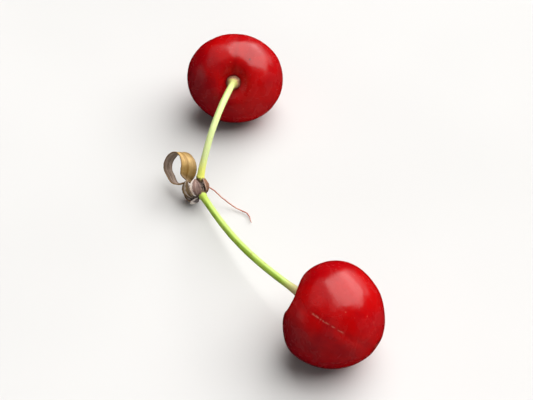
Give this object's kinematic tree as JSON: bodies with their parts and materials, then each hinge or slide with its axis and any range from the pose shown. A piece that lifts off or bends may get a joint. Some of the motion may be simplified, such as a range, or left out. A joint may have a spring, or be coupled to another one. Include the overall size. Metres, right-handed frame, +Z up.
{
  "type": "twin cherries on stalks",
  "caption": "Natural pair of red sweet cherries lying on a surface, each on its curved green stalk from one woody spur with dry bud scales and a curled bract.",
  "frame": {"origin": "on the surface that the pair lies on, under the middle of its box", "axes": "+Z up from the surface, +Y from the front cherry towards the back cherry, +X to the right seen from the front"},
  "size_m": [0.0488, 0.0986, 0.0226],
  "materials": {
    "cherry_skin": "satin",
    "stalk_green": "satin",
    "spur_bark": "matte",
    "bud_scale_brown": "matte",
    "dry_bract": "satin",
    "dry_thread": "matte"
  },
  "bodies": {
    "root": {"back_cherry": "cherry_skin", "front_cherry": "cherry_skin", "back_stalk": "stalk_green", "front_stalk": "stalk_green", "spur": "spur_bark", "front_bud_scale": "bud_scale_brown", "left_bud_scale": "bud_scale_brown", "right_bud_scale": "bud_scale_brown", "lower_bud_scale": "bud_scale_brown", "back_bud_scale": "bud_scale_brown", "curled_bract": "dry_bract", "dry_thread": "dry_thread"}
  },
  "joints": []
}
